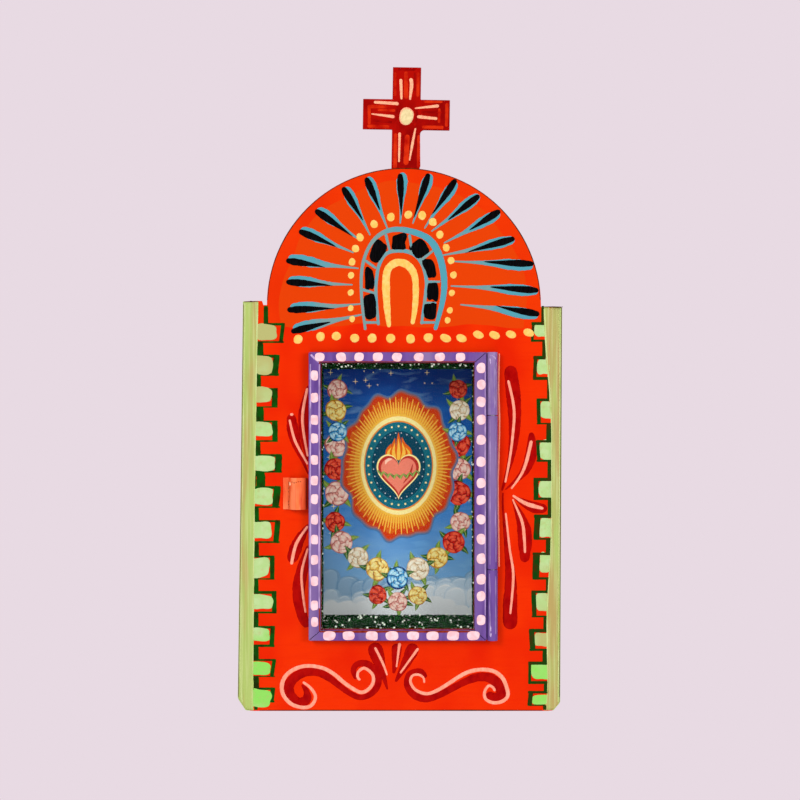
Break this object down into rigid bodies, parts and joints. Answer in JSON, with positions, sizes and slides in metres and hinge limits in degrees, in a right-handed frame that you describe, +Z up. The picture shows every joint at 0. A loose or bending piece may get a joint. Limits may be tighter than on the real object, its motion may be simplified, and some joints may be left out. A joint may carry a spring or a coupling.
{
  "type": "devotional niche",
  "caption": "Wall-hung painted tinplate niche: arched face plate with a cross, a shallow box behind a glazed hinged door, and a spring catch.",
  "frame": {"origin": "middle of the box's flat rear face, which lies against the wall, level with the middle of the window", "axes": "+Y out of the rear face into the wall, +Z up, +X to the right as seen from the front"},
  "size_m": [0.142, 0.0354, 0.2801],
  "materials": {
    "orange_paint": "brushed enamel, satin",
    "cross_paint": "brushed enamel, satin",
    "purple_paint": "brushed enamel, satin",
    "catch_paint": "brushed enamel, satin",
    "bare_tin": "bare tinplate, dull",
    "steel_wire": "drawn wire",
    "solder": "soft solder, bright",
    "printed_card": "printed card, satin",
    "green_glitter": "glitter in clear glue",
    "door_glass": "clear picture glass"
  },
  "bodies": {
    "niche": {"face_plate": "orange_paint", "cross": "cross_paint", "box_wrap": "bare_tin", "box_top_cap": "bare_tin", "box_bottom_cap": "bare_tin", "hanger_tab": "bare_tin", "picture_card": "printed_card", "glitter_floor": "green_glitter", "glitter_ceiling": "green_glitter", "glitter_left": "green_glitter", "glitter_right": "green_glitter", "middle_knuckle": "purple_paint", "hinge_pin": "steel_wire", "solder_top_left": "solder", "solder_top_right": "solder", "solder_bottom_left": "solder", "solder_bottom_right": "solder", "solder_upper_left": "solder", "solder_upper_right": "solder", "solder_lower_left": "solder", "solder_lower_right": "solder", "solder_cross": "solder", "solder_hanger": "solder"},
    "door": {"door_latch_stile": "purple_paint", "door_hinge_stile": "purple_paint", "door_bottom_rail": "purple_paint", "door_top_rail": "purple_paint", "glass_pane": "door_glass", "lower_knuckle": "purple_paint", "upper_knuckle": "purple_paint"},
    "catch": {"catch": "catch_paint"}
  },
  "joints": [
    {"name": "door_hinge", "type": "hinge", "parent": "niche", "child": "door", "pos_m": [0.04105, -0.0331, 0], "axis": [0, 0, 1], "range_deg": [0, 170]},
    {"name": "catch_flex", "type": "hinge", "parent": "niche", "child": "catch", "pos_m": [-0.04974, -0.0305, 0.0011], "axis": [0, 0, -1], "range_deg": [0, 12], "stiffness_Nm_per_rad": 0.05}
  ]
}
